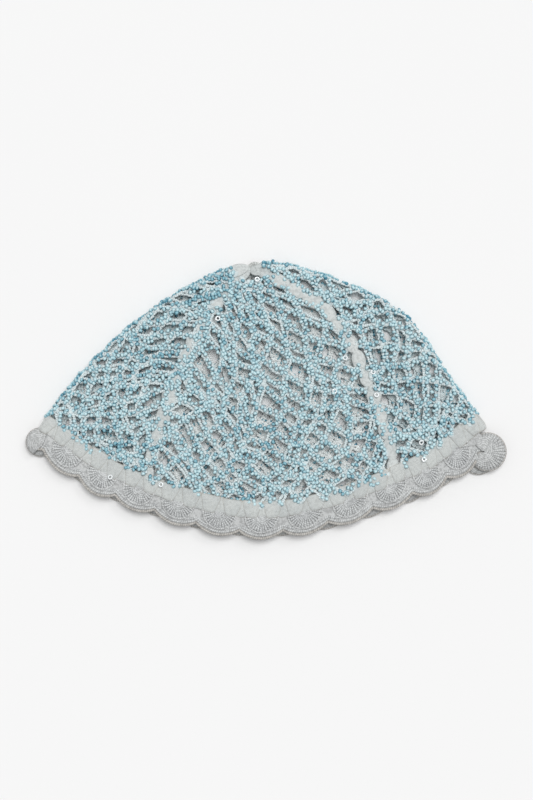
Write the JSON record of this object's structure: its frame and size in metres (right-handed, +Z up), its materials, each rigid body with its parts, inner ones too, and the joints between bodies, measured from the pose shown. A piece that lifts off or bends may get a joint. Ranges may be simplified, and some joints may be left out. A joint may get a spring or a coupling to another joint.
{
  "type": "beaded crochet beanie",
  "caption": "Soft skull cap of open beaded crochet net in triangular gores, with crocheted seam tapes and a scalloped lace hem, lying flat and empty.",
  "frame": {"origin": "middle of the box of the cap as it lies, on the table", "axes": "+X to the wearer's left side of the laid cap, along the hem; +Y from the hem to the crown; +Z up off the table, out of the front gore"},
  "size_m": [0.2647, 0.1544, 0.0134],
  "materials": {
    "beaded_net": "grey crochet cord, open diamond net strung with beads",
    "seam_tape": "smooth pale crocheted puffs",
    "hem_crochet": "dense grey crochet with radial and concentric stitches",
    "glass_beads": "small glossy aqua glass beads, paler where the light comes through",
    "sequins": "flat white pearly rings"
  },
  "bodies": {
    "root": {"panel_front": "beaded_net", "panel_right": "beaded_net", "panel_back": "beaded_net", "panel_left": "beaded_net", "seam_front_left": "seam_tape", "seam_front_right": "seam_tape", "seam_back_right": "seam_tape", "seam_back_left": "seam_tape", "crown_tip": "seam_tape", "hem_band": "hem_crochet", "scallop_edge": "hem_crochet"}
  },
  "joints": []
}
